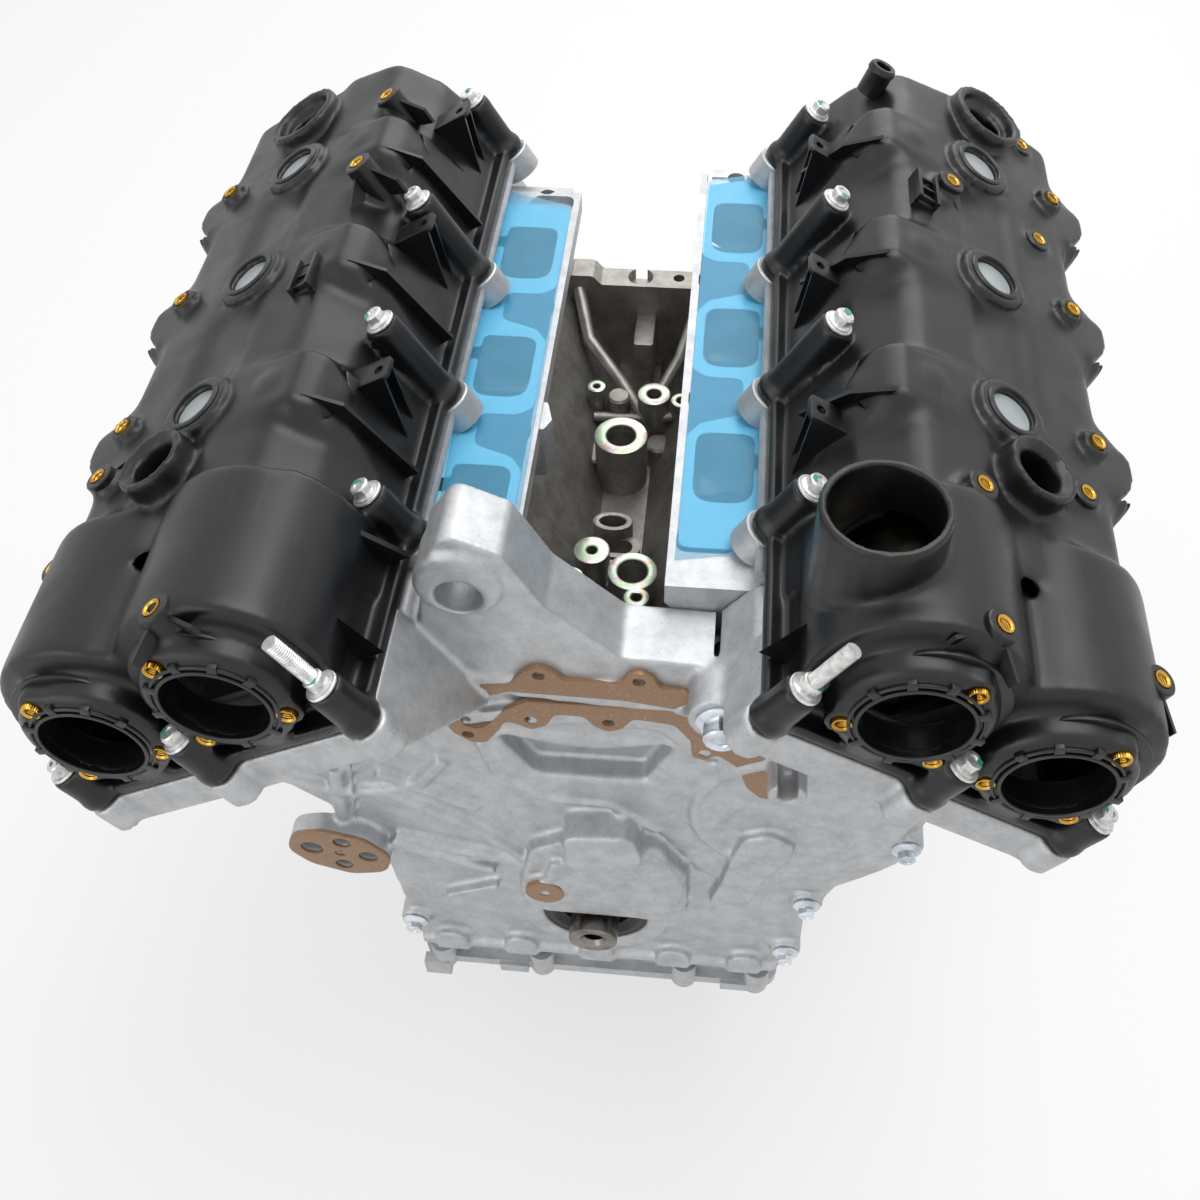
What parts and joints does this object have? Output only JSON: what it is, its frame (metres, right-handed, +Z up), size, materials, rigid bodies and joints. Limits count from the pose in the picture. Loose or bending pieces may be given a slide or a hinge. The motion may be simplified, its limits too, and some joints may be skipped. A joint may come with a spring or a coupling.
{
  "type": "v-six engine long block",
  "caption": "Sixty-degree V-six long block with black moulded cam covers, cast front cover, open phaser ports, filmed intake ports and a full crank and cam train.",
  "frame": {"origin": "crankshaft axis at the rear face of its flywheel flange", "axes": "+Y along the crank axis towards the flywheel, +Z up between the banks, +X to the viewer's right seen from the front"},
  "size_m": [0.555, 0.4969, 0.585],
  "materials": {
    "cast_alloy": "sand-cast, matt and grainy",
    "cast_alloy_dark": "dull cast skin",
    "steel": "machined steel",
    "bearing": "tri-metal bearing",
    "dark_bolt": "black oxide",
    "seal_rubber": "moulded rubber lip",
    "gasket": "layered steel",
    "gasket_rubber": "moulded rubber bead",
    "valve_steel": "ground",
    "spring_steel": "shot-peened wire",
    "chain_steel": "oiled link plates",
    "guide_nylon": "nylon",
    "zinc": "zinc plate",
    "moulded_cover": "satin moulded",
    "brass": "knurled brass",
    "cap_plastic": "thin pale disc",
    "film": "translucent sky-blue film",
    "sump_paint": "black satin paint",
    "piston_alloy": "machined",
    "phaser_steel": "machined"
  },
  "bodies": {
    "engine": {"cylinder_block": "cast_alloy_dark", "main_bearing_caps": "steel", "main_bearing_shells": "bearing", "main_cap_bolts": "dark_bolt", "front_crank_seal": "seal_rubber", "rear_seal_housing": "cast_alloy", "cylinder_head_left": "cast_alloy", "cylinder_head_right": "cast_alloy", "head_gaskets": "gasket", "head_bolts": "dark_bolt", "cam_bearing_caps": "cast_alloy", "intake_valves": "valve_steel", "exhaust_valves": "valve_steel", "valve_springs": "spring_steel", "roller_fingers": "steel", "lash_adjusters": "steel", "spark_plug_tubes": "steel", "primary_chain": "chain_steel", "left_cam_chain": "chain_steel", "right_cam_chain": "chain_steel", "chain_guides": "guide_nylon", "oil_pump": "cast_alloy", "oil_pickup": "steel", "front_cover": "cast_alloy", "front_cover_bolts": "zinc", "cam_cover_left": "moulded_cover", "cam_cover_right": "moulded_cover", "cam_cover_gaskets": "gasket_rubber", "cam_cover_bolts": "zinc", "brass_inserts": "brass", "plug_well_caps": "cap_plastic", "intake_port_film_left": "film", "intake_port_film_right": "film", "oil_pan_upper": "cast_alloy", "oil_pan_lower": "sump_paint", "pan_bolts": "zinc", "drain_plug": "steel"},
    "crank": {"crankshaft": "steel", "crank_sprocket": "steel"},
    "piston_1": {"piston_1": "piston_alloy"},
    "rod_1": {"connecting_rod_1": "steel"},
    "piston_2": {"piston_2": "piston_alloy"},
    "rod_2": {"connecting_rod_2": "steel"},
    "piston_3": {"piston_3": "piston_alloy"},
    "rod_3": {"connecting_rod_3": "steel"},
    "piston_4": {"piston_4": "piston_alloy"},
    "rod_4": {"connecting_rod_4": "steel"},
    "piston_5": {"piston_5": "piston_alloy"},
    "rod_5": {"connecting_rod_5": "steel"},
    "piston_6": {"piston_6": "piston_alloy"},
    "rod_6": {"connecting_rod_6": "steel"},
    "left_intake_cam": {"camshaft_left_intake": "steel", "phaser_left_intake": "phaser_steel"},
    "left_exhaust_cam": {"camshaft_left_exhaust": "steel", "phaser_left_exhaust": "phaser_steel"},
    "right_intake_cam": {"camshaft_right_intake": "steel", "phaser_right_intake": "phaser_steel"},
    "right_exhaust_cam": {"camshaft_right_exhaust": "steel", "phaser_right_exhaust": "phaser_steel"},
    "idler": {"timing_idler": "steel"}
  },
  "joints": [
    {"name": "crank_spin", "type": "hinge", "parent": "engine", "child": "crank", "pos_m": [0, 0, 0], "axis": [0, 1, 0], "range_deg": [-6, 6], "deforming": ["primary_chain"]},
    {"name": "piston_1_slide", "type": "slide", "parent": "engine", "child": "piston_1", "axis": [-0.5, 0, 0.866], "range_m": [-0.0055, 0.0055]},
    {"name": "rod_1_swing", "type": "hinge", "parent": "piston_1", "child": "rod_1", "pos_m": [-0.0986, -0.31, 0.17078], "axis": [0, 1, 0], "range_deg": [-3, 3]},
    {"name": "piston_2_slide", "type": "slide", "parent": "engine", "child": "piston_2", "axis": [0.5, 0, 0.866], "range_m": [-0.0055, 0.0055]},
    {"name": "rod_2_swing", "type": "hinge", "parent": "piston_2", "child": "rod_2", "pos_m": [0.06868, -0.283, 0.11897], "axis": [0, 1, 0], "range_deg": [-3, 3]},
    {"name": "piston_3_slide", "type": "slide", "parent": "engine", "child": "piston_3", "axis": [-0.5, 0, 0.866], "range_m": [-0.0055, 0.0055]},
    {"name": "rod_3_swing", "type": "hinge", "parent": "piston_3", "child": "rod_3", "pos_m": [-0.06328, -0.204, 0.1096], "axis": [0, 1, 0], "range_deg": [-3, 3]},
    {"name": "piston_4_slide", "type": "slide", "parent": "engine", "child": "piston_4", "axis": [0.5, 0, 0.866], "range_m": [-0.0055, 0.0055]},
    {"name": "rod_4_swing", "type": "hinge", "parent": "piston_4", "child": "rod_4", "pos_m": [0.0986, -0.177, 0.17078], "axis": [0, 1, 0], "range_deg": [-3, 3]},
    {"name": "piston_5_slide", "type": "slide", "parent": "engine", "child": "piston_5", "axis": [-0.5, 0, 0.866], "range_m": [-0.0055, 0.0055]},
    {"name": "rod_5_swing", "type": "hinge", "parent": "piston_5", "child": "rod_5", "pos_m": [-0.06868, -0.098, 0.11897], "axis": [0, 1, 0], "range_deg": [-3, 3]},
    {"name": "piston_6_slide", "type": "slide", "parent": "engine", "child": "piston_6", "axis": [0.5, 0, 0.866], "range_m": [-0.0055, 0.0055]},
    {"name": "rod_6_swing", "type": "hinge", "parent": "piston_6", "child": "rod_6", "pos_m": [0.06328, -0.071, 0.1096], "axis": [0, 1, 0], "range_deg": [-3, 3]},
    {"name": "left_intake_cam_spin", "type": "hinge", "parent": "engine", "child": "left_intake_cam", "pos_m": [-0.15282, -0.2, 0.33069], "axis": [0, 1, 0], "range_deg": [-4, 4]},
    {"name": "left_exhaust_cam_spin", "type": "hinge", "parent": "engine", "child": "left_exhaust_cam", "pos_m": [-0.22193, -0.2, 0.29079], "axis": [0, 1, 0], "range_deg": [-4, 4]},
    {"name": "right_intake_cam_spin", "type": "hinge", "parent": "engine", "child": "right_intake_cam", "pos_m": [0.15282, -0.2, 0.33069], "axis": [0, 1, 0], "range_deg": [-4, 4]},
    {"name": "right_exhaust_cam_spin", "type": "hinge", "parent": "engine", "child": "right_exhaust_cam", "pos_m": [0.22193, -0.2, 0.29079], "axis": [0, 1, 0], "range_deg": [-4, 4]},
    {"name": "idler_spin", "type": "hinge", "parent": "engine", "child": "idler", "pos_m": [0, -0.38, 0.13], "axis": [0, 1, 0], "range_deg": [-5, 5], "deforming": ["left_cam_chain", "right_cam_chain"]}
  ],
  "couplings": [
    {"joint": "piston_1_slide", "follows": "crank_spin", "m_per_rad": -0.00909},
    {"joint": "rod_1_swing", "follows": "crank_spin", "ratio": -0.26142},
    {"joint": "piston_2_slide", "follows": "crank_spin", "m_per_rad": 0.035345},
    {"joint": "rod_2_swing", "follows": "crank_spin", "ratio": 0.093649},
    {"joint": "piston_3_slide", "follows": "crank_spin", "m_per_rad": -0.026257},
    {"joint": "rod_3_swing", "follows": "crank_spin", "ratio": 0.17408},
    {"joint": "piston_4_slide", "follows": "crank_spin", "m_per_rad": -0.00909},
    {"joint": "rod_4_swing", "follows": "crank_spin", "ratio": -0.26142},
    {"joint": "piston_5_slide", "follows": "crank_spin", "m_per_rad": 0.035345},
    {"joint": "rod_5_swing", "follows": "crank_spin", "ratio": 0.093649},
    {"joint": "piston_6_slide", "follows": "crank_spin", "m_per_rad": -0.026257},
    {"joint": "rod_6_swing", "follows": "crank_spin", "ratio": 0.17408},
    {"joint": "left_intake_cam_spin", "follows": "crank_spin", "ratio": 0.5},
    {"joint": "left_exhaust_cam_spin", "follows": "crank_spin", "ratio": 0.5},
    {"joint": "right_intake_cam_spin", "follows": "crank_spin", "ratio": 0.5},
    {"joint": "right_exhaust_cam_spin", "follows": "crank_spin", "ratio": 0.5},
    {"joint": "idler_spin", "follows": "crank_spin", "ratio": 0.66667}
  ]
}
